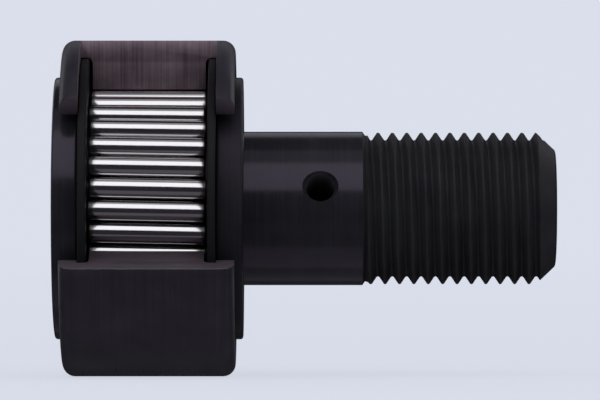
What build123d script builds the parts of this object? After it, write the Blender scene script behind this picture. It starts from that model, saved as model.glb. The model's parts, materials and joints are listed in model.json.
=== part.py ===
"""Stud-type cam follower with a full complement of needle rollers, shown with a window cut in its
outer ring.

All sizes are in millimetres. +X runs along the stud from the roller to the threaded end, +Z is up,
and the origin is on the stud's axis at its shoulder, the outer face of the side plate.
Angles around the stud are measured from -Y towards +Z.
"""

import os
from math import cos, pi, radians, sin, tan

from build123d import *

# ---------------------------------------------------------------------------------------------
# Driving dimensions
# ---------------------------------------------------------------------------------------------

# The outer ring, which is the roller
roller_diameter = 35.0
ring_width = 18.0
ring_corner_radius = 1.3
lip_bore_radius = 15.0
lip_width = 1.9
groove_radius = 15.7
groove_width = 1.2
groove_fillet = 0.6
groove_lip_fillet = 0.3

# The window in the outer ring: a full-width sector, then a narrower one between the two lips
window_low_angle = -20.5
window_lip_angle = 40.0
window_high_angle = 87.5

# The stud's head flange and the side plate stand out of the ring by side_gap
side_gap = 0.8
flange_diameter = 27.3
flange_thickness = 2.7
flange_edge_break = 0.3

# The needles and what they roll on
needle_count = 31
needle_diameter = 2.25
needle_length = 12.1
needle_edge_radius = 0.2
needle_pitch_radius = 11.26
first_needle_angle = 80.0
running_clearance = 0.015
needle_end_scatter = 0.09
needle_scatter_step = 2.4

# The thrust washers at the needles' ends
washer_thickness = 0.85
washer_outer_radius = 15.6
washer_bore_clearance = 0.1
washer_edge_radius = 0.2
washer_face_clearance = 0.05

# The stud, whose thread's crests lie a little below the shank
plate_seat_radius = 9.5
shank_diameter = 16.0
shank_length = 12.4
stud_reach = 32.5
thread_diameter = 15.8
thread_pitch = 1.5
thread_depth = 0.84
thread_notch_width = 0.55
thread_notch_depth = 0.4
thread_run_in = 0.98
thread_flank_angle = 31.0
end_chamfer_length = 2.0
end_chamfer_depth = 1.9

# The thread is cut in a bar that is longer than the stud, by a tool that stands out of the crests
bar_reach = 36.0
groove_overrun = 0.1
cut_margin = 1.0

# The stud's oil ways, and the hexagon socket in its head
oil_way_diameter = 3.0
oil_hole_x = 8.0
oil_hole_angle = 16.7
oil_hole_mouth_diameter = 3.7
oil_hole_mouth_cone = 90.0
raceway_oil_hole_diameter = 2.5
raceway_oil_hole_angle = 180.0
nipple_bore_diameter = 6.0
nipple_bore_depth = 9.0
socket_across_flats = 8.0
socket_depth = 6.0

# ---------------------------------------------------------------------------------------------
# Worked-out dimensions
# ---------------------------------------------------------------------------------------------

roller_radius = roller_diameter / 2
shank_radius = shank_diameter / 2
thread_radius = thread_diameter / 2
flange_radius = flange_diameter / 2
needle_radius = needle_diameter / 2

half_ring = ring_width / 2
ring_centre_x = -(half_ring + side_gap)
head_face_x = ring_centre_x - half_ring - side_gap
flange_inner_x = head_face_x + flange_thickness
plate_inner_x = -flange_thickness

lip_inner_offset = half_ring - lip_width
raceway_half_width = lip_inner_offset - groove_width
inner_raceway_radius = needle_pitch_radius - needle_radius - running_clearance
outer_raceway_radius = needle_pitch_radius + needle_radius + running_clearance
washer_outer_offset = lip_inner_offset - washer_face_clearance


def around(angle):
    """Give the unit vector that points away from the stud's axis at an angle."""
    return Vector(0, -cos(radians(angle)), sin(radians(angle)))


def section_plane(x, angle):
    """Give the plane whose X is the stud's axis and whose Y points outward at an angle."""
    outward = around(angle)
    return Plane(origin=(x, 0, 0), x_dir=(1, 0, 0), z_dir=Vector(1, 0, 0).cross(outward))


# Turning about this axis goes from -Y towards +Z
turn_axis = Axis((0, 0, 0), (-1, 0, 0))


def finish_piece(piece, label):
    """Name a piece, print its size and write its file."""
    piece.label = label
    export_step(piece, f"parts/{label}.step")
    print(f"{label}: volume {piece.volume:.1f} mm3, valid {piece.is_valid}")


os.makedirs("parts", exist_ok=True)

# ---------------------------------------------------------------------------------------------
# Stud: head flange, inner raceway, plate seat, shank and thread, turned from one bar
# ---------------------------------------------------------------------------------------------

with BuildPart() as stud:
    # The threaded end comes first: a small turned notch parts the shank from the crests
    with BuildSketch(Plane.XY):
        with BuildLine():
            Polyline(
                (shank_length, 0),
                (shank_length, shank_radius),
                (shank_length + thread_notch_width / 2, shank_radius - thread_notch_depth),
                (shank_length + thread_notch_width, thread_radius),
                (bar_reach, thread_radius),
                (bar_reach, 0),
                close=True,
            )
        make_face()
    revolve(axis=Axis.X)

    # The thread is a right-hand groove swept along a helix at its root, out past the bar's end
    groove_floor = thread_pitch / 8
    groove_height = thread_depth + groove_overrun
    groove_mouth = groove_floor + groove_height * 2 * tan(radians(thread_flank_angle))
    groove_start_x = shank_length + thread_run_in
    with BuildLine() as thread_path:
        Helix(
            pitch=thread_pitch,
            height=bar_reach - groove_start_x + thread_pitch,
            radius=thread_radius - thread_depth,
            center=(groove_start_x, 0, 0),
            direction=(1, 0, 0),
        )
    groove_start = thread_path.wires()[0] @ 0
    with BuildSketch(Plane(origin=groove_start, x_dir=(1, 0, 0), z_dir=(0, -1, 0))):
        with BuildLine():
            Polyline(
                (-groove_floor / 2, 0),
                (groove_floor / 2, 0),
                (groove_mouth / 2, groove_height),
                (-groove_mouth / 2, groove_height),
                close=True,
            )
        make_face()
    sweep(path=thread_path.wires()[0], is_frenet=True, mode=Mode.SUBTRACT)

    # The bar is turned to length, with the chamfer at its end
    chamfer_slope = end_chamfer_length / end_chamfer_depth
    chamfer_start_x = stud_reach - end_chamfer_length
    with BuildSketch(Plane.XY):
        with BuildLine():
            Polyline(
                (stud_reach, 0),
                (stud_reach, thread_radius - end_chamfer_depth),
                (chamfer_start_x - chamfer_slope * cut_margin, thread_radius + cut_margin),
                (bar_reach + cut_margin, thread_radius + cut_margin),
                (bar_reach + cut_margin, 0),
                close=True,
            )
        make_face()
    revolve(axis=Axis.X, mode=Mode.SUBTRACT)

    # The rest is turned about the same axis: flange, inner raceway, plate seat and plain shank
    with BuildSketch(Plane.XY):
        with BuildLine():
            Polyline(
                (head_face_x, 0),
                (head_face_x, flange_radius),
                (flange_inner_x, flange_radius),
                (flange_inner_x, inner_raceway_radius),
                (plate_inner_x, inner_raceway_radius),
                (plate_inner_x, plate_seat_radius),
                (0, plate_seat_radius),
                (0, shank_radius),
                (shank_length, shank_radius),
                (shank_length, 0),
                close=True,
            )
        make_face()
    revolve(axis=Axis.X)
    flange_rim = stud.faces().filter_by(GeomType.CYLINDER).sort_by(SortBy.RADIUS)[-1]
    chamfer(flange_rim.edges().filter_by(GeomType.CIRCLE), length=flange_edge_break)

    # The hexagon socket in the head
    with BuildSketch(Plane.YZ.offset(head_face_x)):
        RegularPolygon(radius=socket_across_flats / 2, side_count=6, major_radius=False)
    extrude(amount=socket_depth, mode=Mode.SUBTRACT)

    # The nipple's bore and the oil way along the axis
    with BuildSketch(Plane.YZ.offset(stud_reach)):
        Circle(nipple_bore_diameter / 2)
    extrude(amount=-nipple_bore_depth, mode=Mode.SUBTRACT)
    with BuildSketch(Plane.YZ.offset(stud_reach)):
        Circle(oil_way_diameter / 2)
    extrude(amount=-(stud_reach - ring_centre_x), mode=Mode.SUBTRACT)

    # The radial oil holes: one in the shank, one under the needles on the far side
    shank_mouth = Vector(oil_hole_x, 0, 0) + around(oil_hole_angle) * shank_radius
    with Locations(Plane(origin=shank_mouth, z_dir=around(oil_hole_angle))):
        CounterSinkHole(
            radius=oil_way_diameter / 2,
            counter_sink_radius=oil_hole_mouth_diameter / 2,
            depth=shank_radius,
            counter_sink_angle=oil_hole_mouth_cone,
        )
    raceway_side = around(raceway_oil_hole_angle)
    raceway_mouth = Vector(ring_centre_x, 0, 0) + raceway_side * inner_raceway_radius
    with Locations(Plane(origin=raceway_mouth, z_dir=raceway_side)):
        Hole(radius=raceway_oil_hole_diameter / 2, depth=inner_raceway_radius)

finish_piece(stud.part, "stud")

# ---------------------------------------------------------------------------------------------
# Side plate: a disc pressed on the stud's seat, against the end of the inner raceway
# ---------------------------------------------------------------------------------------------

with BuildPart() as side_plate:
    with BuildSketch(Plane.YZ.offset(plate_inner_x)):
        Circle(flange_radius)
        Circle(plate_seat_radius, mode=Mode.SUBTRACT)
    extrude(amount=flange_thickness)
    plate_rim = side_plate.faces().filter_by(GeomType.CYLINDER).sort_by(SortBy.RADIUS)[-1]
    chamfer(plate_rim.edges().filter_by(GeomType.CIRCLE), length=flange_edge_break)

finish_piece(side_plate.part, "side_plate")

# ---------------------------------------------------------------------------------------------
# Outer ring: a turned ring with a raceway, two washer grooves and two lips, and the window
# ---------------------------------------------------------------------------------------------

with BuildPart() as outer_ring:
    with BuildSketch(Plane.XY):
        with BuildLine():
            Polyline(
                (ring_centre_x - half_ring, roller_radius),
                (ring_centre_x - half_ring, lip_bore_radius),
                (ring_centre_x - lip_inner_offset, lip_bore_radius),
                (ring_centre_x - lip_inner_offset, groove_radius),
                (ring_centre_x - raceway_half_width, groove_radius),
                (ring_centre_x - raceway_half_width, outer_raceway_radius),
                (ring_centre_x + raceway_half_width, outer_raceway_radius),
                (ring_centre_x + raceway_half_width, groove_radius),
                (ring_centre_x + lip_inner_offset, groove_radius),
                (ring_centre_x + lip_inner_offset, lip_bore_radius),
                (ring_centre_x + half_ring, lip_bore_radius),
                (ring_centre_x + half_ring, roller_radius),
                close=True,
            )
        ring_section = make_face()
        corners = ring_section.vertices().group_by(Axis.Y)
        fillet(corners[-1], radius=ring_corner_radius)
        groove_corners = corners[-2].sort_by(Axis.X)
        fillet(groove_corners[1:3], radius=groove_fillet)
        fillet(groove_corners[0::3], radius=groove_lip_fillet)
    revolve(axis=Axis.X)

    # The window's full-width sector
    with BuildSketch(section_plane(ring_centre_x, window_low_angle)):
        with Locations((0, roller_radius)):
            Rectangle(ring_width + cut_margin, roller_radius)
    revolve(
        axis=turn_axis,
        revolution_arc=window_lip_angle - window_low_angle,
        mode=Mode.SUBTRACT,
    )

    # The window's narrower sector, which leaves the two lips standing
    with BuildSketch(section_plane(ring_centre_x, window_lip_angle)):
        with Locations((0, roller_radius)):
            Rectangle(lip_inner_offset * 2, roller_radius)
    revolve(
        axis=turn_axis,
        revolution_arc=window_high_angle - window_lip_angle,
        mode=Mode.SUBTRACT,
    )

finish_piece(outer_ring.part, "outer_ring")

# ---------------------------------------------------------------------------------------------
# Thrust washers: two thin discs in the ring's grooves, one at each end of the needles
# ---------------------------------------------------------------------------------------------

washer_places = {
    "thrust_washer_head_side": ring_centre_x - washer_outer_offset,
    "thrust_washer_plate_side": ring_centre_x + washer_outer_offset - washer_thickness,
}

for washer_name, washer_x in washer_places.items():
    with BuildPart() as washer:
        with BuildSketch(Plane.YZ.offset(washer_x)):
            Circle(washer_outer_radius)
            Circle(inner_raceway_radius + washer_bore_clearance, mode=Mode.SUBTRACT)
        extrude(amount=washer_thickness)
        washer_rim = washer.faces().filter_by(GeomType.CYLINDER).sort_by(SortBy.RADIUS)[-1]
        fillet(washer_rim.edges().filter_by(GeomType.CIRCLE), radius=washer_edge_radius)
    finish_piece(washer.part, washer_name)

# ---------------------------------------------------------------------------------------------
# Needle rollers: a full complement, each a little to one side or the other of the middle
# ---------------------------------------------------------------------------------------------

needle_step = 360 / needle_count
needle_gap = 2 * needle_pitch_radius * sin(pi / needle_count) - needle_diameter
print(f"gap between needles: {needle_gap:.3f} mm")

for index in range(needle_count):
    angle = first_needle_angle - index * needle_step
    end_shift = needle_end_scatter * sin(needle_scatter_step * index)
    centre = Vector(ring_centre_x + end_shift, 0, 0) + around(angle) * needle_pitch_radius
    with BuildPart() as needle:
        with BuildSketch(Plane(origin=centre, z_dir=(1, 0, 0))):
            Circle(needle_radius)
        extrude(amount=needle_length / 2, both=True)
        fillet(needle.edges().filter_by(GeomType.CIRCLE), radius=needle_edge_radius)
    finish_piece(needle.part, f"needle_roller_{index + 1:02d}")
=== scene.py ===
# %% [markdown]
# # A cam follower with a window cut in its roller
#
# A cam follower is a small wheel on a stud. Its outer ring rolls along a cam or a track, a full row of
# needle rollers carries the ring on the stud, and a nut on the threaded end clamps the stud in a
# machine. This one is a display piece: a window is cut in the ring so that the needles can be seen.
#
# The imported CAD model is the frame. It gives the main sizes and places below, and each visible piece
# rides on one of its bodies.

# %% Load the frame
import json
from math import atan2, cos, degrees, hypot, pi, radians, sin, tan

import bmesh
import bpy
from mathutils import Matrix, Vector


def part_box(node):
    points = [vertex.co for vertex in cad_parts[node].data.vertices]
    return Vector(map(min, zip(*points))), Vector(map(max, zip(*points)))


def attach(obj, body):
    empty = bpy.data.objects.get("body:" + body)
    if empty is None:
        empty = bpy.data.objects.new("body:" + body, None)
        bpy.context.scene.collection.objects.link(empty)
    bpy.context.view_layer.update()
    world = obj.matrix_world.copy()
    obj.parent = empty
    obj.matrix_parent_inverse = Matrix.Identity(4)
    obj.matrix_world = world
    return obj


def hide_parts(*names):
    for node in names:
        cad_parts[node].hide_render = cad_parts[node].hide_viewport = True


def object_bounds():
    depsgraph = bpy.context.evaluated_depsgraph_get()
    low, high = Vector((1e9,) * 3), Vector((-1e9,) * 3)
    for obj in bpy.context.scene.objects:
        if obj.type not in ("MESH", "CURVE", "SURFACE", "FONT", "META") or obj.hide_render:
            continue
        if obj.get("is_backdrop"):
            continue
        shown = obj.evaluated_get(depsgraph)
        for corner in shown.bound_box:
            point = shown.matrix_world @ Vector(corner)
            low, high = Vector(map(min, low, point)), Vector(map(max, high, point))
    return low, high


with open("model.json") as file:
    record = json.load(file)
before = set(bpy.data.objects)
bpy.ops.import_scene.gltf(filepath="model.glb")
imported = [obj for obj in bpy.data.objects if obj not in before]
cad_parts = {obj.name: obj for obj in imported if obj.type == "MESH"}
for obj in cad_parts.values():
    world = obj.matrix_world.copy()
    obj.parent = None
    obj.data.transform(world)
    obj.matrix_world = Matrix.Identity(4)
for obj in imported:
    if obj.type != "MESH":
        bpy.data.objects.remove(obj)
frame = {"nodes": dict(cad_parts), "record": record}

cad_low, cad_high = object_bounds()
mm = 0.001
print("CAD box in mm:", [round(v / mm, 2) for v in (*cad_low, *cad_high)])

# %% [markdown]
# ## Camera
#
# The piece is seen side on and level, through a long lens from about two thirds of a metre. A long
# lens keeps the roller's faces and the stud's end nearly edge-on, as a drawing shows them.

# %% Camera
camera_data = bpy.data.cameras.new("level_camera")
camera_data.sensor_width = 36
camera_data.lens = 385.5
camera = bpy.data.objects.new("level_camera", camera_data)
camera_distance, camera_side, camera_height = 670 * mm, 5.9 * mm, 0.88 * mm
camera.location = (camera_side, -camera_distance, camera_height)
camera.rotation_euler = (radians(90), 0, 0)
bpy.context.scene.collection.objects.link(camera)
bpy.context.scene.camera = camera
print(f"camera {camera_distance:.2f} m away, {degrees(camera_data.angle):.1f} degrees wide")

# %% [markdown]
# ## Sizes
#
# Boxes of the CAD nodes and the record's mounts give the driving sizes. The stud's axis is the X axis,
# so half a node's height is its radius.

# %% Sizes read from the frame
mounts = {mount["name"]: mount for mount in frame["record"]["mounts"]}


def span_x(node):
    """Give a CAD node's lowest and highest X."""
    low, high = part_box(node)
    return low.x, high.x


def outer_radius(node):
    """Give the radius of a CAD node that is round about the stud's axis."""
    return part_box(node)[1].z


head_x, stud_end_x = span_x("stud")
ring_x = span_x("outer_ring")
plate_x = span_x("side_plate")
flange_radius = outer_radius("stud")
ring_radius = outer_radius("outer_ring")
shank_radius = mounts["stud_seat"]["dims"]["r_mm"] * mm
shank_end_x = mounts["stud_seat"]["dims"]["length_mm"] * mm
nipple_radius = mounts["nipple_bore"]["dims"]["r_mm"] * mm
nipple_depth = mounts["nipple_bore"]["dims"]["length_mm"] * mm
ring_middle = sum(ring_x) / 2
round_segments = 240
print(f"stud {head_x / mm:.1f} to {stud_end_x / mm:.1f} mm, ring radius {ring_radius / mm:.2f} mm")

# %% Sizes of the needles, read from their nodes
needle_nodes = sorted(name for name in frame["nodes"] if name.startswith("needle_roller_"))
needle_boxes = [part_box(name) for name in needle_nodes]
needle_centres = [(low + high) / 2 for low, high in needle_boxes]
needle_length = needle_boxes[0][1].x - needle_boxes[0][0].x
needle_diameter = needle_boxes[0][1].z - needle_boxes[0][0].z
needle_circle = hypot(needle_centres[0].y, needle_centres[0].z)
running_clearance = 0.015 * mm
raceway_inner = needle_circle - needle_diameter / 2 - running_clearance
raceway_outer = needle_circle + needle_diameter / 2 + running_clearance
print(f"{len(needle_nodes)} needles, {needle_diameter / mm:.3f} mm thick")
print(f"needle circle radius {needle_circle / mm:.3f} mm")

# %% [markdown]
# ## Helpers
#
# Nearly every piece here came off a lathe, so most of the meshes are an outline turned about the X
# axis. `rounded` breaks an outline's corners with small arcs, as a lathe tool does, because a real
# edge always catches a thin line of light. `turned` spins the outline into a closed mesh, and `joined`
# makes the mesh from the rings of points, so that a ring can also be a hexagon.

# %% Outline with rounded corners


def rounded(corners, steps=5):
    """Turn (x, radius, corner radius) corners into a closed outline whose corners are arcs."""
    outline = []
    for index, (x, r, corner_radius) in enumerate(corners):
        corner = Vector((x, r))
        if not corner_radius:
            outline.append(corner)
            continue
        before = Vector(corners[index - 1][:2]) - corner
        after = Vector(corners[(index + 1) % len(corners)][:2]) - corner
        half = before.angle(after) / 2
        before, after = before.normalized(), after.normalized()
        centre = corner + (before + after).normalized() * corner_radius / sin(half)
        first = before * corner_radius / tan(half) + corner - centre
        last = after * corner_radius / tan(half) + corner - centre
        outline += [centre + first.slerp(last, step / steps) * corner_radius for step in range(steps + 1)]
    return outline


# %% Outline turned about the X axis


def around(x, r, angle):
    """Give the point at a distance from the stud's axis; angles go from -Y towards +Z."""
    return Vector((x, -r * cos(angle), r * sin(angle)))


def new_piece(name, mesh_maker, materials, sharp_angle=35):
    """Make an object from a filled bmesh, with normals outward and edges sharp above an angle."""
    bmesh.ops.recalc_face_normals(mesh_maker, faces=mesh_maker.faces)
    mesh = bpy.data.meshes.new(name)
    mesh_maker.to_mesh(mesh)
    mesh_maker.free()
    for material in materials:
        mesh.materials.append(material)
    mesh.shade_smooth()
    mesh.set_sharp_from_angle(angle=radians(sharp_angle))
    piece = bpy.data.objects.new(name, mesh)
    bpy.context.scene.collection.objects.link(piece)
    return piece


def joined(name, rings, materials, closed=False, sharp_angle=35):
    """Make a mesh with a band of faces between each ring of points and the next; one point is a pole."""
    maker = bmesh.new()
    segments = max(len(ring) for ring in rings)
    rows = []
    for ring in rings:
        row = [maker.verts.new(point) for point in ring]
        rows.append(row * segments if len(row) == 1 else row)
    pairs = list(zip(rows, rows[1:])) + ([(rows[-1], rows[0])] if closed else [])
    for row, following in pairs:
        for step in range(segments):
            after = (step + 1) % segments
            corners = [row[step], row[after], following[after], following[step]]
            maker.faces.new(dict.fromkeys(corners))
    return new_piece(name, maker, materials, sharp_angle)


def circle(x, r, segments):
    """Give a circle's points about the X axis, or one point where it has no radius."""
    if r == 0:
        return [Vector((x, 0, 0))]
    return [around(x, r, 2 * pi * step / segments) for step in range(segments)]


def turned(name, outline, segments, materials, closed=True, sharp_angle=35):
    """Spin an outline of (x, radius) points about the X axis into a mesh."""
    rings = [circle(x, r, segments) for x, r in outline]
    return joined(name, rings, materials, closed, sharp_angle)


# %% Nodes: one function adds any node, with its settings and its links


def add_node(tree, kind, inputs=(), **settings):
    """Add a node; inputs maps a socket's name or number to a value, an output or a node's first output."""
    node = tree.nodes.new(kind)
    for name, value in settings.items():
        setattr(node, name, value)
    for socket, value in dict(inputs).items():
        if isinstance(value, bpy.types.Node):
            value = value.outputs[0]
        if isinstance(value, bpy.types.NodeSocket):
            tree.links.new(value, node.inputs[socket])
        else:
            node.inputs[socket].default_value = value
    return node


def linear(hex_colour):
    """Turn an sRGB hex colour into the linear colour that Blender's sockets take."""
    channels = [int(hex_colour[i:i + 2], 16) / 255 for i in (1, 3, 5)]
    return [c / 12.92 if c <= 0.04045 else ((c + 0.055) / 1.055) ** 2.4 for c in channels] + [1.0]


# %% [markdown]
# ## Finish: black oxide on ground steel
#
# The stud, the side plate and the ring are bearing steel, hardened, ground and dipped in a hot
# blackening bath. The bath leaves a film of magnetite about one micrometre thick: nearly black, a
# little violet where light glances off it, and satin because it copies the grinding marks below it.
# The marks run round the axis, so their noise is fine along X and long round it.

# %% Black oxide material


def black_oxide(name, dark, light, lay_mm, roughness, marks, gloss):
    """Black oxide over a ground or turned surface whose marks run round the X axis."""
    material = bpy.data.materials.new(name)
    material.use_nodes = True
    tree = material.node_tree
    tree.nodes.clear()
    place = add_node(tree, "ShaderNodeTexCoord").outputs["Object"]
    # lay: a streak every lay_mm along X on round surfaces and outwards on end faces, since x plus the
    # distance from the axis changes on both, and many times longer round the axis. Real marks lie some
    # hundredths of a millimetre apart, so they are drawn coarser, to show at all
    x, y, z = add_node(tree, "ShaderNodeSeparateXYZ", {0: place}).outputs
    off_axis = add_node(tree, "ShaderNodeCombineXYZ", {1: y, 2: z})
    radius = add_node(tree, "ShaderNodeVectorMath", {0: off_axis}, operation="LENGTH").outputs["Value"]
    reach = add_node(tree, "ShaderNodeMath", {0: x, 1: radius}, operation="ADD")
    unrolled = add_node(tree, "ShaderNodeCombineXYZ", {0: reach, 1: y, 2: z})
    stretch = add_node(tree, "ShaderNodeMapping", {"Vector": unrolled, "Scale": (1 / (lay_mm * mm), 60, 60)})
    lay = add_node(tree, "ShaderNodeTexNoise", {"Vector": stretch, "Scale": 1.0, "Detail": 3.0})
    # cloud: the bath's slow unevenness, some 4 mm across
    cloud = add_node(tree, "ShaderNodeTexNoise", {"Vector": place, "Scale": 250.0, "Detail": 4.0})
    # grain: specks a tenth of a millimetre across, coarser than the real film's so that they show
    grain = add_node(tree, "ShaderNodeTexNoise", {"Vector": place, "Scale": 9000.0, "Detail": 2.0})
    tone = add_node(tree, "ShaderNodeMath", {0: cloud, 1: lay}, operation="MULTIPLY")
    colour = add_node(tree, "ShaderNodeValToRGB", {0: tone})
    colour.color_ramp.elements[0].position = 0.12
    colour.color_ramp.elements[0].color = linear(dark)
    colour.color_ramp.elements[1].position = 0.42
    colour.color_ramp.elements[1].color = linear(light)
    rough = add_node(
        tree,
        "ShaderNodeMapRange",
        {0: lay, 1: 0.3, 2: 0.7, 3: roughness - 0.06, 4: roughness + 0.06},
    )
    height = add_node(tree, "ShaderNodeMath", {0: lay, 1: grain, 2: 0.5}, operation="MULTIPLY_ADD")
    bump = add_node(
        tree,
        "ShaderNodeBump",
        {"Strength": marks, "Distance": 0.004 * mm, "Height": height},
    )
    shader = add_node(
        tree,
        "ShaderNodeBsdfPrincipled",
        {
            "Base Color": colour,
            "Roughness": rough,
            "Normal": bump,
            "Specular IOR Level": gloss,
            "Specular Tint": (0.92, 0.74, 1.0, 1.0),
        },
    )
    add_node(tree, "ShaderNodeOutputMaterial", {"Surface": shader})
    return material


# stud: ground between centres, so its marks are the finest
ground_oxide = black_oxide("black_oxide_on_ground_steel", "#131315", "#1A1A1D", 0.12, 0.20, 0.4, 0.22)
# outer ring: turned, hardened and lightly ground
ring_oxide = black_oxide("black_oxide_on_turned_steel", "#19181B", "#242226", 0.15, 0.42, 0.6, 0.12)
# side plate: faced on a lathe
plate_oxide = black_oxide("black_oxide_on_faced_steel", "#121214", "#1B1A1C", 0.2, 0.40, 0.6, 0.10)
# thread: cut with a single point, and duller than the shank
thread_oxide = black_oxide("black_oxide_on_cut_thread", "#18181A", "#222223", 0.1, 0.5, 0.6, 0.05)
# low face and lips' ends: milled, then blackened; their colours are lighter than the ring's, painted light
# that brightens these faces beyond what the lamps give them
milled_oxide_painted_light = black_oxide("black_oxide_on_milled_steel_painted_light", "#2E282C", "#3A3237", 0.16, 0.45, 0.7, 0.30)
# oil hole's wall: drilled, then blackened; its grey is lighter than the shank's, painted light so that the
# shaded inside of the hole doesn't go black
drilled_oxide_painted_light = black_oxide("black_oxide_in_drilled_hole_painted_light", "#3A383A", "#454244", 0.2, 0.6, 0.4, 0.10)

# %% [markdown]
# ## Finish: the milled window faces
#
# The window was cut in two steps. The low face and the lips' ends were milled before the blackening
# bath, so they are black, though their black is painted lighter than the ring's as painted light. The
# high face between the lips was milled after it, so it is bare steel: duller than the needles, brownish
# from a film of oil, and scored with the cutter's fine upright lines.
# The lines are a noise squeezed along X and drawn out the other two ways, which needs no unwrapping.

# %% Milled steel material


def milled_steel(name, dark, light):
    """Bare milled steel with the cutter's lines side by side along X."""
    material = bpy.data.materials.new(name)
    material.use_nodes = True
    tree = material.node_tree
    tree.nodes.clear()
    place = add_node(tree, "ShaderNodeTexCoord").outputs["Object"]
    stretch = add_node(tree, "ShaderNodeMapping", {"Vector": place, "Scale": (1 / (0.16 * mm), 90, 90)})
    lines = add_node(tree, "ShaderNodeTexNoise", {"Vector": stretch, "Scale": 1.0, "Detail": 4.0})
    cloud = add_node(tree, "ShaderNodeTexNoise", {"Vector": place, "Scale": 400.0, "Detail": 3.0})
    tone = add_node(tree, "ShaderNodeMath", {0: cloud, 1: lines}, operation="ADD")
    half = add_node(tree, "ShaderNodeMath", {0: tone, 1: 0.5}, operation="MULTIPLY")
    colour = add_node(tree, "ShaderNodeValToRGB", {0: half})
    colour.color_ramp.elements[0].position = 0.36
    colour.color_ramp.elements[0].color = linear(dark)
    colour.color_ramp.elements[1].position = 0.64
    colour.color_ramp.elements[1].color = linear(light)
    bump = add_node(
        tree,
        "ShaderNodeBump",
        {"Strength": 0.6, "Distance": 0.008 * mm, "Height": lines},
    )
    shader = add_node(
        tree,
        "ShaderNodeBsdfPrincipled",
        {
            "Base Color": colour,
            "Metallic": 1.0,
            "Roughness": 0.55,
            "Normal": bump,
        },
    )
    add_node(tree, "ShaderNodeOutputMaterial", {"Surface": shader})
    return material


milled = milled_steel("milled_bearing_steel", "#6C5D67", "#97868F")

# %% [markdown]
# ## Finish: the needles
#
# Needle rollers are bearing steel, through-hardened and then lapped until they shine. Each one shows
# the studio as a narrow bright line with a soft grey line under it. The lapping leaves hair lines round
# each needle, a few thousandths of a millimetre apart. They are drawn far coarser, at a tenth of a
# millimetre, because otherwise nothing of them would show.

# %% Lapped steel material


def lapped_steel(name, colour, smoothest, roughest):
    """Polished bearing steel with very fine lapping lines round each needle."""
    material = bpy.data.materials.new(name)
    material.use_nodes = True
    tree = material.node_tree
    tree.nodes.clear()
    place = add_node(tree, "ShaderNodeTexCoord").outputs["Object"]
    stretch = add_node(tree, "ShaderNodeMapping", {"Vector": place, "Scale": (1 / (0.1 * mm), 300, 300)})
    lines = add_node(tree, "ShaderNodeTexNoise", {"Vector": stretch, "Scale": 1.0, "Detail": 3.0})
    rough = add_node(tree, "ShaderNodeMapRange", {0: lines, 1: 0.3, 2: 0.7, 3: smoothest, 4: roughest})
    bump = add_node(
        tree,
        "ShaderNodeBump",
        {"Strength": 0.25, "Distance": 0.002 * mm, "Height": lines},
    )
    shader = add_node(
        tree,
        "ShaderNodeBsdfPrincipled",
        {
            "Base Color": linear(colour),
            "Metallic": 1.0,
            "Roughness": rough,
            "Normal": bump,
        },
    )
    add_node(tree, "ShaderNodeOutputMaterial", {"Surface": shader})
    return material


# needles and raceway: lapped bright
lapped = lapped_steel("lapped_bearing_steel", "#B4B1B3", 0.10, 0.18)
# edge of the low face: bright bare steel, a painted highlight that makes the glint along this edge stand out
glint_edge_steel = lapped_steel("steel_edge_painted_highlight", "#A39BA2", 0.30, 0.45)

# %% [markdown]
# ## Finish: the thrust washers
#
# The washers that keep the needles from rubbing on the flange are moulded from black nylon: matte, with
# a fine moulded grain. One fine noise gives both the grain and a slight change of tone.

# %% Moulded nylon material


def moulded_nylon(name):
    """Matte black moulded nylon with a fine grain."""
    material = bpy.data.materials.new(name)
    material.use_nodes = True
    tree = material.node_tree
    tree.nodes.clear()
    place = add_node(tree, "ShaderNodeTexCoord").outputs["Object"]
    grain = add_node(tree, "ShaderNodeTexNoise", {"Vector": place, "Scale": 5000.0, "Detail": 3.0})
    colour = add_node(tree, "ShaderNodeValToRGB", {0: grain})
    colour.color_ramp.elements[0].color = linear("#0B0B0C")
    colour.color_ramp.elements[1].color = linear("#121213")
    bump = add_node(
        tree,
        "ShaderNodeBump",
        {"Strength": 0.4, "Distance": 0.01 * mm, "Height": grain},
    )
    shader = add_node(
        tree,
        "ShaderNodeBsdfPrincipled",
        {
            "Base Color": colour,
            "Roughness": 0.6,
            "Specular IOR Level": 0.1,
            "Normal": bump,
        },
    )
    add_node(tree, "ShaderNodeOutputMaterial", {"Surface": shader})
    return material


nylon = moulded_nylon("moulded_black_nylon")

# %% [markdown]
# ## The stud
#
# One bar, turned: a flange at the head, the inner raceway, the seat of the side plate, the plain shank
# and the thread. The blank is an outline turned about the axis, closely spaced where the thread will
# be. The head has a hexagon socket, whose rings of points are pushed out to six flats.

# %% Outline of the stud
plate_seat_radius = 9.5 * mm
face_start_radius = 6 * mm
raceway_fillet = 0.2 * mm
shoulder_fillet = 0.15 * mm
edge_break = 0.3 * mm
flange_inner_x = head_x + (plate_x[1] - plate_x[0])
turned_part = rounded([
    (head_x, face_start_radius, 0),
    (head_x, flange_radius, edge_break),
    (flange_inner_x, flange_radius, edge_break),
    (flange_inner_x, raceway_inner, raceway_fillet),
    (plate_x[0], raceway_inner, 0),
    (plate_x[0], plate_seat_radius, 0),
    (plate_x[1], plate_seat_radius, 0),
    (plate_x[1], shank_radius, shoulder_fillet),
    (shank_end_x, shank_radius, 0),
])

# a small V parts the shank from the thread
thread_major = 7.9 * mm
notch_width, notch_depth = 0.55 * mm, 0.4 * mm
crest_start_x = shank_end_x + notch_width
notch_part = [
    Vector((shank_end_x + notch_width / 2, shank_radius - notch_depth)),
    Vector((crest_start_x, thread_major)),
]

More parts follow.
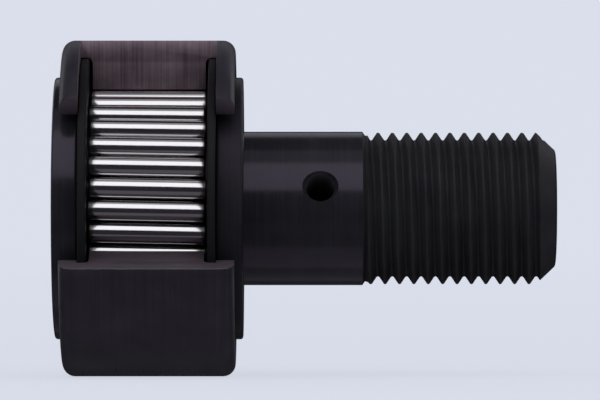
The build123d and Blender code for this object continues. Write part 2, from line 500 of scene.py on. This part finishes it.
# rows of points, close enough along the bar for the thread's V
thread_pitch, thread_depth = 1.5 * mm, 0.8 * mm
thread_row = thread_pitch / 16
chamfer_length, chamfer_depth, chamfer_rows = 2.0 * mm, 1.9 * mm, 22
chamfer_x = stud_end_x - chamfer_length
row_count = round((chamfer_x - crest_start_x) / thread_row)
thread_part = [
    Vector((crest_start_x + (chamfer_x - crest_start_x) * row / row_count, thread_major))
    for row in range(1, row_count)
]
chamfer_part = [
    Vector((chamfer_x, thread_major)) + Vector((chamfer_length, -chamfer_depth)) * row / chamfer_rows
    for row in range(chamfer_rows)
]

# the end's face, the nipple's bore and the oil way; a drill leaves a cone 0.6 of its radius deep
oil_way_radius = 1.5 * mm
end_fillet, bore_edge = 0.6 * mm, 0.25 * mm
drill_point = 0.6 * oil_way_radius
end_part = rounded([
    (chamfer_x, thread_major, 0),
    (stud_end_x, thread_major - chamfer_depth, end_fillet),
    (stud_end_x, nipple_radius, bore_edge),
    (stud_end_x - nipple_depth, nipple_radius, 0),
    (stud_end_x - nipple_depth, oil_way_radius, 0),
    (ring_middle, oil_way_radius, 0),
    (ring_middle - drill_point, 0, 0),
])[1:]
print(f"thread rows: {row_count}")

# %% The stud's blank, with the socket's six flats
socket_flats, socket_depth, socket_rim = 8.0 * mm, 6.0 * mm, 0.25 * mm
socket_cone = 0.8 * mm


def hexagon(x, half_flats, share):
    """Give a ring of points that is a circle at share 0 and a full hexagon at share 1."""
    angles = [2 * pi * step / round_segments for step in range(round_segments)]
    corners_out = [1 / cos((angle + pi / 6) % (pi / 3) - pi / 6) - 1 for angle in angles]
    return [around(x, half_flats * (1 + share * out), angle) for angle, out in zip(angles, corners_out)]


socket_part = [
    circle(head_x + socket_depth, 0, round_segments),
    circle(head_x + socket_depth - socket_cone, 0.43 * socket_flats, round_segments),
    hexagon(head_x + socket_depth - socket_cone, socket_flats / 2, 1),
    hexagon(head_x + socket_rim, socket_flats / 2, 1),
    hexagon(head_x, socket_flats / 2 + socket_rim, 0.9),
]
outline = turned_part + notch_part + thread_part + chamfer_part + end_part
round_part = [circle(x, r, round_segments) for x, r in outline]
stud_finishes = [ground_oxide, thread_oxide, drilled_oxide_painted_light]
stud = joined("stud_turned", socket_part + round_part, stud_finishes, sharp_angle=40)
print("stud blank:", len(stud.data.polygons), "faces")

# %% [markdown]
# ## The thread
#
# A thread follows a rule: the surface drops by the same V wherever the distance along the axis, less
# the turn round it, comes to the same share of the pitch. So a Geometry Nodes tree cuts it in the
# blank. It moves each point of the blank towards the axis, never outwards, which is what the tool does,
# and where the blank is chamfered the thread runs out by itself.

# %% Thread tree
thread_tree = bpy.data.node_groups.new("cut_thread", "GeometryNodeTree")
face = thread_tree.interface
face.new_socket("Geometry", in_out="INPUT", socket_type="NodeSocketGeometry")
for size_name in ("Pitch", "Depth", "Major Radius", "Start", "Run in", "Crest"):
    face.new_socket(size_name, in_out="INPUT", socket_type="NodeSocketFloat")
face.new_socket("Material", in_out="INPUT", socket_type="NodeSocketMaterial")
face.new_socket("Geometry", in_out="OUTPUT", socket_type="NodeSocketGeometry")

given = add_node(thread_tree, "NodeGroupInput").outputs
point = add_node(thread_tree, "GeometryNodeInputPosition").outputs[0]
along, across, up = add_node(thread_tree, "ShaderNodeSeparateXYZ", {0: point}).outputs

# how far the point is from the axis, and where it lies round it, in turns
off_axis = add_node(thread_tree, "ShaderNodeCombineXYZ", {1: across, 2: up})
radius_now = add_node(thread_tree, "ShaderNodeVectorMath", {0: off_axis}, operation="LENGTH").outputs["Value"]
forward = add_node(thread_tree, "ShaderNodeMath", {0: across, 1: -1.0}, operation="MULTIPLY")
angle = add_node(thread_tree, "ShaderNodeMath", {0: forward, 1: up}, operation="ARCTAN2")
turn = add_node(thread_tree, "ShaderNodeMath", {0: angle, 1: 2 * pi}, operation="DIVIDE")

# how many pitches the point is from the nearest crest: 0 on a crest, 0.5 in a root
from_first = add_node(thread_tree, "ShaderNodeMath", {0: along, 1: given["Crest"]}, operation="SUBTRACT")
pitches = add_node(thread_tree, "ShaderNodeMath", {0: from_first, 1: given["Pitch"]}, operation="DIVIDE")
unwound = add_node(thread_tree, "ShaderNodeMath", {0: pitches, 1: turn}, operation="SUBTRACT")
from_crest = add_node(thread_tree, "ShaderNodeMath", {0: unwound, 1: 0.5}, operation="PINGPONG")
crest_half, root_half = 1 / 14, 1 / 14  # half the width of the flats, in pitches
groove = add_node(
    thread_tree,
    "ShaderNodeMapRange",
    {0: from_crest, 1: crest_half, 2: 0.5 - root_half, 3: 0.0, 4: 1.0},
)

# the tool goes in gradually at the shank's end
run_end = add_node(thread_tree, "ShaderNodeMath", {0: given["Start"], 1: given["Run in"]}, operation="ADD")
run_in = add_node(
    thread_tree,
    "ShaderNodeMapRange",
    {0: along, 1: given["Start"], 2: run_end, 3: 0.0, 4: 1.0},
    interpolation_type="SMOOTHSTEP",
)
share = add_node(thread_tree, "ShaderNodeMath", {0: groove, 1: run_in}, operation="MULTIPLY")
cut = add_node(thread_tree, "ShaderNodeMath", {0: share, 1: given["Depth"]}, operation="MULTIPLY")
cut_radius = add_node(thread_tree, "ShaderNodeMath", {0: given["Major Radius"], 1: cut}, operation="SUBTRACT")
radius_new = add_node(thread_tree, "ShaderNodeMath", {0: radius_now, 1: cut_radius}, operation="MINIMUM")
shrink = add_node(thread_tree, "ShaderNodeMath", {0: radius_new, 1: radius_now}, operation="DIVIDE")
on_axis = add_node(thread_tree, "ShaderNodeCombineXYZ", {0: along})
inward = add_node(thread_tree, "ShaderNodeVectorMath", {0: off_axis, "Scale": shrink}, operation="SCALE")
moved = add_node(thread_tree, "ShaderNodeVectorMath", {0: on_axis, 1: inward}, operation="ADD")
threaded = add_node(thread_tree, "ShaderNodeMath", {0: along, 1: given["Start"]}, operation="GREATER_THAN")
cut_mesh = add_node(
    thread_tree,
    "GeometryNodeSetPosition",
    {"Geometry": given["Geometry"], "Selection": threaded, "Position": moved},
)
real_mesh = add_node(thread_tree, "GeometryNodeRealizeInstances", {0: cut_mesh})
finished = add_node(
    thread_tree,
    "GeometryNodeSetMaterial",
    {"Geometry": real_mesh, "Selection": threaded, "Material": given["Material"]},
)
add_node(thread_tree, "NodeGroupOutput", {0: finished})

# %% Apply a tree or other modifiers, and keep the plain mesh


def set_inputs(modifier, **sizes):
    """Set a nodes modifier's inputs by their sockets' identifiers; _ in a name stands for a space."""
    names = {item.name: item.identifier for item in modifier.node_group.interface.items_tree
             if item.in_out == "INPUT"}
    for name, value in sizes.items():
        modifier[names[name.replace("_", " ")]] = value


def settle(piece, sharp_angle=None):
    """Replace a piece's mesh by what its modifiers make of it, and remove them."""
    graph = bpy.context.evaluated_depsgraph_get()
    mesh = bpy.data.meshes.new_from_object(piece.evaluated_get(graph), depsgraph=graph)
    piece.modifiers.clear()
    piece.data = mesh
    if sharp_angle:
        mesh.shade_smooth()
        mesh.set_sharp_from_angle(angle=radians(sharp_angle))
    return piece


# %% Cut the thread and drill the oil hole
crest_x = 21.53 * mm  # a crest on the stud's top
run_in_length = 0.9 * mm
threader = stud.modifiers.new("cut_thread", "NODES")
threader.node_group = thread_tree
set_inputs(
    threader,
    Pitch=thread_pitch,
    Depth=thread_depth,
    Major_Radius=thread_major,
    Start=shank_end_x,
    Run_in=run_in_length,
    Crest=crest_x,
    Material=thread_oxide,
)

oil_hole_x = 8.0 * mm
oil_hole_angle = radians(16.7)
mouth_radius = 1.85 * mm
countersink_depth = 1.1 * (mouth_radius - oil_way_radius)  # a little deeper, as the shank curves away
overshoot = 1 * mm
drill = turned(
    "oil_hole_drill",
    [
        (0, 0),
        (0, oil_way_radius),
        (shank_radius - countersink_depth, oil_way_radius),
        (shank_radius + overshoot, mouth_radius + overshoot),
        (shank_radius + overshoot, 0),
    ],
    64,
    [ground_oxide],
    closed=False,
)
outward = around(0, 1, oil_hole_angle)
drill.data.transform(outward.to_track_quat("X", "Z").to_matrix().to_4x4())
drill.data.transform(Matrix.Translation((oil_hole_x, 0, 0)))
drilling = stud.modifiers.new("drill", "BOOLEAN")
drilling.operation = "DIFFERENCE"
drilling.solver = "EXACT"
drilling.object = drill
settle(stud, sharp_angle=38)
bpy.data.objects.remove(drill)

# the faces of the drilled wall, between the oil way and the countersink, take the drilled finish, whose
# lighter grey is painted light inside the hole
hole_axis = Vector((oil_hole_x, 0, 0))
wall_radius, wall_top = oil_way_radius + 0.05 * mm, shank_radius - 0.3 * mm
for polygon in stud.data.polygons:
    from_hole = polygon.center - hole_axis
    along_hole = from_hole.dot(outward)
    off_hole = (from_hole - outward * along_hole).length
    if off_hole < wall_radius and oil_way_radius < along_hole < wall_top:
        polygon.material_index = stud_finishes.index(drilled_oxide_painted_light)
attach(stud, "stud")
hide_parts("stud")
print("stud:", len(stud.data.polygons), "faces")

# %% [markdown]
# ## The side plate
#
# A plain steel washer, pressed on the stud. It stands a little out of the ring, and its broken edges
# catch a thin line of light. Everything on it is round, so one turned outline makes it.

# %% Side plate
plate_bore_edge = 0.1 * mm
plate = turned(
    "side_plate_pressed",
    rounded([
        (plate_x[0], plate_seat_radius, 0),
        (plate_x[0], flange_radius, edge_break),
        (plate_x[1], flange_radius, edge_break),
        (plate_x[1], plate_seat_radius, plate_bore_edge),
    ]),
    round_segments,
    [plate_oxide],
)
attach(plate, "stud")
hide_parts("side_plate")
print("side plate:", len(plate.data.polygons), "faces")

# %% [markdown]
# ## The thrust washers
#
# Two thin rings keep the needles' ends off the flange and the side plate. They are moulded, and seen
# only as dark bands at both sides of the window. Here each is a turned outline, a tenth of a millimetre
# clear of the journal that it runs round.

# %% Thrust washers
washer_bore = raceway_inner + 0.1 * mm
bore_round, rim_round = 0.1 * mm, 0.2 * mm
for washer_node in ("thrust_washer_head_side", "thrust_washer_plate_side"):
    washer_x = span_x(washer_node)
    washer_radius = outer_radius(washer_node)
    washer = turned(
        washer_node + "_moulded",
        rounded([
            (washer_x[0], washer_bore, bore_round),
            (washer_x[0], washer_radius, rim_round),
            (washer_x[1], washer_radius, rim_round),
            (washer_x[1], washer_bore, bore_round),
        ]),
        round_segments,
        [nylon],
    )
    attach(washer, "outer_ring")
    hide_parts(washer_node)
    print(f"{washer_node}: {(washer_x[1] - washer_x[0]) / mm:.2f} mm thick")

# %% [markdown]
# ## The outer ring and its window
#
# The ring is turned, then milled open in two steps: a full-width sector at the front, and above it a
# narrower one that leaves the two lips standing. The mesh follows the same steps. The whole section
# goes round where nothing was cut, the two lips' sections go on alone beside the narrow part, and flat
# faces close each end. A Boolean could cut the window too, but this way the cut edges are clean, and a
# Bevel modifier can break them evenly.

# %% Section of the ring
half_width = (ring_x[1] - ring_x[0]) / 2
lip_bore = 15.0 * mm
groove_radius, groove_fillet = 15.7 * mm, 0.6 * mm
lip_width, groove_width = 1.9 * mm, 1.2 * mm
lip_offset = half_width - lip_width
race_offset = lip_offset - groove_width
corner_radius = 1.3 * mm
arc_steps = 8


def mirrored(points):
    """Give the same points on the head's side of the ring's middle."""
    return [(-x, r) for x, r in reversed(points)]


def corner_arc(x, r, radius, start, end):
    """Give an arc's points about a centre, with angles in degrees from the X axis."""
    turns = [radians(start + (end - start) * step / arc_steps) for step in range(arc_steps + 1)]
    return [(x + radius * cos(t), r + radius * sin(t)) for t in turns]


# one half of the section, from the raceway round to the outside, in offsets from the ring's middle
groove_side = [
    (race_offset, raceway_outer),
    *corner_arc(race_offset + groove_fillet, groove_radius - groove_fillet, groove_fillet, 180, 90),
    (lip_offset, groove_radius),
]
lip_side = [
    (lip_offset, lip_bore),
    (half_width, lip_bore),
    *corner_arc(half_width - corner_radius, ring_radius - corner_radius, corner_radius, 0, 90),
    (lip_offset, ring_radius),
]
print("ring section points:", 2 * (len(groove_side) + len(lip_side)))

# %% The window's angles, and the angles at which the section stands
low_angle, lip_angle, high_angle = radians(-20.5), radians(40), radians(87.5)
step_angle = radians(1.5)


def stations(first, last):
    """Give evenly spaced angles from first to last, both included."""
    count = round((last - first) / step_angle)
    return [first + (last - first) * step / count for step in range(count + 1)]


full_angles = stations(high_angle, low_angle + 2 * pi)
lip_angles = stations(lip_angle, high_angle)
print(f"{len(full_angles)} whole sections, {len(lip_angles)} of the lips alone")

# %% Tools for the ring's mesh
maker = bmesh.new()
made = {}


def ring_vertex(offset, r, angle):
    """Give the vertex at a place on the ring, made once."""
    key = (round(offset / mm, 5), round(r / mm, 5), round(angle, 6))
    if key not in made:
        made[key] = maker.verts.new(around(ring_middle + offset, r, angle))
    return made[key]


def skin(points, angles, material_of):
    """Cover the surface that a section's points sweep through the angles, each strip in its finish."""
    for first, second in zip(points, points[1:] + points[:1]):
        for angle, following in zip(angles, angles[1:]):
            quad = [
                ring_vertex(*first, angle),
                ring_vertex(*second, angle),
                ring_vertex(*second, following),
                ring_vertex(*first, following),
            ]
            maker.faces.new(quad).material_index = material_of(first, second)


def cap(points, angle, finish):
    """Close a milled end with one flat face."""
    maker.faces.new([ring_vertex(*place, angle) for place in points]).material_index = finish


# %% Which finish each strip of the section has
ring_finishes = [ring_oxide, milled, lapped, milled_oxide_painted_light, glint_edge_steel]
blackened, bare, bright, milled_black_painted_light, painted_glint = range(len(ring_finishes))
tolerance = 0.01 * mm


def finish_of(first, second):
    """The raceway and the grooves between the lips are bare bright steel; the rest is blackened."""
    low = max(first[1], second[1]) < groove_radius + tolerance
    between_lips = max(abs(first[0]), abs(second[0])) < lip_offset + tolerance
    return bright if low and between_lips else blackened


def lip_finish(first, second):
    """The face that the narrow cutter left on the lip's inner side is milled; the rest is blackened."""
    upright = abs(first[0] - second[0]) < 1e-9 and abs(abs(first[0]) - lip_offset) < 1e-6
    return bare if upright else blackened


# %% Skin the ring and close its milled ends
right_half = groove_side + lip_side
whole = mirrored(right_half) + right_half
right_lip = [groove_side[-1]] + lip_side
left_lip = mirrored(right_lip)
middle = mirrored(groove_side) + groove_side + [(lip_offset, ring_radius), (-lip_offset, ring_radius)]

skin(whole, full_angles, finish_of)
skin(right_lip, lip_angles, lip_finish)
skin(left_lip, lip_angles, lip_finish)
# the low face and the lips' ends take the blackened milled finish, painted lighter than the ring as painted
# light
cap(whole, low_angle + 2 * pi, milled_black_painted_light)
cap(middle, high_angle, bare)
cap(right_lip, lip_angle, milled_black_painted_light)
cap(left_lip, lip_angle, milled_black_painted_light)
print("ring:", len(maker.faces), "faces")

# %% Weigh the edges for the bevel: the low cut's outside edge is broken the widest
low_edge_weight, common_weight = 1.0, 0.6
bmesh.ops.recalc_face_normals(maker, faces=maker.faces)
weights = maker.edges.layers.float.new("bevel_weight_edge")
least_turn = radians(40)
for edge in maker.edges:
    if len(edge.link_faces) == 2 and edge.calc_face_angle() > least_turn:
        on_low_cut = all(abs(atan2(v.co.z, -v.co.y) - low_angle) < 1e-4 for v in edge.verts)
        outside = all(hypot(v.co.y, v.co.z) > ring_radius - tolerance for v in edge.verts)
        edge[weights] = low_edge_weight if on_low_cut and outside else common_weight
ring = new_piece("outer_ring_milled", maker, ring_finishes)

# %% Break the ring's edges, and give the low cut's outside edge bright steel as a painted highlight
bevel_width = 0.18 * mm
glint_from, glint_to = -0.17 * mm, -0.005 * mm  # round the ring, from the low cut
glint_depth = 0.2 * mm
bevel = ring.modifiers.new("edge_break", "BEVEL")
bevel.width = bevel_width
bevel.segments = 2
bevel.limit_method = "WEIGHT"
settle(ring, sharp_angle=30)
# faces just off the low cut's outside edge take the bright steel, a painted highlight
for polygon in ring.data.polygons:
    spot = polygon.center
    off_cut = (atan2(spot.z, -spot.y) - low_angle) * ring_radius
    near_outside = hypot(spot.y, spot.z) > ring_radius - glint_depth
    if glint_from < off_cut < glint_to and near_outside:
        polygon.material_index = painted_glint
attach(ring, "outer_ring")
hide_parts("outer_ring")
print("ring with broken edges:", len(ring.data.polygons), "faces")

# %% [markdown]
# ## The needles
#
# Thirty-one equal needles fill the space between the raceways, with no cage. One needle is turned, with
# rounded ends, and a Geometry Nodes tree puts a copy at every place on the circle, so the count and the
# circle are each set in one place. Real needles creep a little along the raceway, so the tree shifts
# each one by its own small amount, by the CAD's rule. They also skew a little, so it turns them all
# slightly out of line.

# %% One needle
end_rounding = 0.2 * mm
needle_segments = 48
pattern_needle = turned(
    "pattern_needle",
    rounded(
        [
            (-needle_length / 2, 0, 0),
            (-needle_length / 2, needle_diameter / 2, end_rounding),
            (needle_length / 2, needle_diameter / 2, end_rounding),
            (needle_length / 2, 0, 0),
        ],
        steps=4,
    ),
    needle_segments,
    [lapped],
    closed=False,
)

# %% Needle tree
needle_tree = bpy.data.node_groups.new("needle_complement", "GeometryNodeTree")
face = needle_tree.interface
face.new_socket("Geometry", in_out="INPUT", socket_type="NodeSocketGeometry")
face.new_socket("Needle", in_out="INPUT", socket_type="NodeSocketObject")
face.new_socket("Count", in_out="INPUT", socket_type="NodeSocketInt")
for size_name in ("Circle Radius", "First Angle", "Middle", "End Scatter", "Skew"):
    face.new_socket(size_name, in_out="INPUT", socket_type="NodeSocketFloat")
face.new_socket("Material", in_out="INPUT", socket_type="NodeSocketMaterial")
face.new_socket("Geometry", in_out="OUTPUT", socket_type="NodeSocketGeometry")
given = add_node(needle_tree, "NodeGroupInput").outputs
number = add_node(needle_tree, "GeometryNodeInputIndex")

# the needle's direction round the circle, as (y, z) at radius one
apart = add_node(needle_tree, "ShaderNodeMath", {0: 2 * pi, 1: given["Count"]}, operation="DIVIDE")
onward = add_node(needle_tree, "ShaderNodeMath", {0: number, 1: apart}, operation="MULTIPLY")
angle = add_node(needle_tree, "ShaderNodeMath", {0: given["First Angle"], 1: onward}, operation="SUBTRACT")
cosine = add_node(needle_tree, "ShaderNodeMath", {0: angle}, operation="COSINE")
sine = add_node(needle_tree, "ShaderNodeMath", {0: angle}, operation="SINE")
front = add_node(needle_tree, "ShaderNodeMath", {0: cosine, 1: -1.0}, operation="MULTIPLY")
outward = add_node(needle_tree, "ShaderNodeCombineXYZ", {1: front, 2: sine})
reach = add_node(
    needle_tree,
    "ShaderNodeVectorMath",
    {0: outward, "Scale": given["Circle Radius"]},
    operation="SCALE",
)

# its creep along the raceway, a sine that the CAD also uses
scatter_step = 2.4
stride = add_node(needle_tree, "ShaderNodeMath", {0: number, 1: scatter_step}, operation="MULTIPLY")
wave = add_node(needle_tree, "ShaderNodeMath", {0: stride}, operation="SINE")
creep = add_node(needle_tree, "ShaderNodeMath", {0: given["End Scatter"], 1: wave}, operation="MULTIPLY")
place_x = add_node(needle_tree, "ShaderNodeMath", {0: given["Middle"], 1: creep}, operation="ADD")
along_axis = add_node(needle_tree, "ShaderNodeCombineXYZ", {0: place_x})
spot = add_node(needle_tree, "ShaderNodeVectorMath", {0: along_axis, 1: reach}, operation="ADD")

# its axis, turned a little out of line about the outward direction
lean = add_node(needle_tree, "ShaderNodeMath", {0: given["Skew"], 1: -1.0}, operation="MULTIPLY")
straight = add_node(needle_tree, "ShaderNodeCombineXYZ", {0: 1.0})
needle_axis = add_node(
    needle_tree,
    "ShaderNodeVectorRotate",
    {"Vector": straight, "Axis": outward, "Angle": lean},
)
turned_to = add_node(
    needle_tree,
    "FunctionNodeAlignRotationToVector",
    {"Vector": needle_axis},
    axis="X",
)
points = add_node(needle_tree, "GeometryNodePoints", {"Count": given["Count"], "Position": spot})
pattern = add_node(needle_tree, "GeometryNodeObjectInfo", {"Object": given["Needle"]}).outputs["Geometry"]
copies = add_node(
    needle_tree,
    "GeometryNodeInstanceOnPoints",
    {"Points": points, "Instance": pattern, "Rotation": turned_to},
)
real_needles = add_node(needle_tree, "GeometryNodeRealizeInstances", {0: copies})
finished = add_node(
    needle_tree,
    "GeometryNodeSetMaterial",
    {"Geometry": real_needles, "Material": given["Material"]},
)
add_node(needle_tree, "NodeGroupOutput", {0: finished})

# %% Place the needles
needles = bpy.data.objects.new("needle_complement", bpy.data.meshes.new("needle_complement"))
bpy.context.scene.collection.objects.link(needles)
placer = needles.modifiers.new("needle_complement", "NODES")
placer.node_group = needle_tree
first_angle = atan2(needle_centres[0].z, -needle_centres[0].y)
end_scatter, skew = 0.09 * mm, radians(1.1)
set_inputs(
    placer,
    Needle=pattern_needle,
    Count=len(needle_nodes),
    Circle_Radius=needle_circle,
    First_Angle=first_angle,
    Middle=ring_middle,
    End_Scatter=end_scatter,
    Skew=skew,
    Material=lapped,
)
settle(needles)
bpy.data.objects.remove(pattern_needle)
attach(needles, "needle_set")
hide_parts(*needle_nodes)
print(f"needles: {len(needles.data.polygons)} faces, the first at {degrees(first_angle):.1f} degrees")

# %% [markdown]
# ## Studio
#
# Polished steel is mostly a picture of the studio round it, so the lights are placed by what the needles
# show: one large softbox over the camera, a strip of light behind and above, and weaker panels below.
# Two boxes behind keep the end faces and the back from going black. The floor and the wall are one pale
# bowl, turned like the steel pieces. It glows by itself, so that the shadow on it stays faint, and it
# isn't seen in the metal.

# %% Lights


def softbox(name, centre, length, width, radiance, colour):
    """Place a rectangular softbox that faces the roller, its length across the line of sight."""
    data = bpy.data.lights.new(name, "AREA")
    data.shape = "RECTANGLE"
    data.size = length
    data.size_y = width
    data.energy = radiance * pi * length * width
    data.color = linear(colour)[:3]
    light = bpy.data.objects.new(name, data)
    light.location = centre
    aim = Vector((ring_middle, 0, 0)) - centre
    light.rotation_euler = aim.to_track_quat("-Z", "Y").to_euler()
    light.visible_camera = False
    bpy.context.scene.collection.objects.link(light)
    return light


# name, lowest and highest direction in degrees from the camera upward, radiance and colour
strips = [
    ("softbox_over_camera", 27, 72, 2.05, "#FBFDFF"),
    ("softbox_edge", 72, 97, 0.45, "#FBFDFF"),
    ("strip_behind", 135, 158, 0.48, "#F2F4FF"),
    ("card_below_camera", -60, -22, 0.12, "#F6F2FF"),
    ("panel_below", -100, -60, 0.5, "#F6F2FF"),
    ("panel_below_and_behind", -140, -100, 0.15, "#F6F2FF"),
]
strip_distance, strip_length = 0.6, 1.3
for name, low, high, radiance, colour in strips:
    width = 2 * strip_distance * tan(radians(high - low) / 2)
    centre = around(ring_middle, strip_distance, radians(low + high) / 2)
    softbox(name, centre, strip_length, width, radiance, colour)

# two boxes behind, aside of what the needles mirror, for the end faces and the back
box_distance, box_size, box_rise = 0.8, 0.6, 0.18
for side, turn_degrees in (("left", 145), ("right", 35)):
    turned_by = radians(turn_degrees)
    centre = Vector((cos(turned_by), sin(turned_by), box_rise)) * box_distance
    softbox(f"corner_box_{side}", centre, box_size, box_size, 1.3, "#FBFBFF")
print(len(bpy.data.lights), "softboxes")

# %% Pale paper for the floor and the wall: a matt sheet that also glows, more so farther out
paper = bpy.data.materials.new("pale_paper")
paper.use_nodes = True
paper_tree = paper.node_tree
paper_tree.nodes.clear()
spot = add_node(paper_tree, "ShaderNodeTexCoord").outputs["Object"]
from_middle = add_node(paper_tree, "ShaderNodeVectorMath", {0: spot}, operation="LENGTH").outputs["Value"]
strength = add_node(paper_tree, "ShaderNodeMapRange", {0: from_middle, 1: 0.1, 2: 1.0, 3: 0.85, 4: 0.93})
glow = add_node(
    paper_tree,
    "ShaderNodeEmission",
    {"Color": linear("#DBDFEB"), "Strength": strength},
)
sheet = add_node(paper_tree, "ShaderNodeBsdfDiffuse", {"Color": linear("#47484B")})
both = add_node(paper_tree, "ShaderNodeAddShader", {0: glow, 1: sheet})
add_node(paper_tree, "ShaderNodeOutputMaterial", {"Surface": both})

# %% Bowl, an outline of (height, radius) turned and then stood upright under the roller
floor_radius, curve_radius, curve_steps, bowl_segments = 0.9, 1.1, 12, 96
curve_angles = [pi / 2 * step / curve_steps for step in range(1, curve_steps + 1)]
bowl_outline = [(0, 0), (0, 0.4), (0, floor_radius)]
bowl_outline += [(curve_radius * (1 - cos(t)), floor_radius + curve_radius * sin(t)) for t in curve_angles]
bowl_outline += [(2.5, 2.0), (3.2, 1.2), (3.4, 0)]
bowl = turned("paper_bowl", bowl_outline, bowl_segments, [paper], closed=False, sharp_angle=80)
bowl.data.transform(Matrix.Translation((0, 0, cad_low.z)) @ Matrix.Rotation(-pi / 2, 4, "Y"))
bowl.data.flip_normals()
bowl.visible_glossy = False
bowl.visible_shadow = False
bowl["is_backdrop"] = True
print("bowl:", len(bowl.data.polygons), "faces")

# %% Dim grey world, and colours shown as they are
world = bpy.data.worlds.new("dim_studio")
world.use_nodes = True
world.node_tree.nodes["Background"].inputs["Color"].default_value = linear("#5A5860")
world.node_tree.nodes["Background"].inputs["Strength"].default_value = 0.35
bpy.context.scene.world = world
bpy.context.scene.view_settings.view_transform = "Standard"

# %% Write the sizes and finish
low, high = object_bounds()
print("visual box in mm:", [round(v / mm, 2) for v in (*low, *high)])
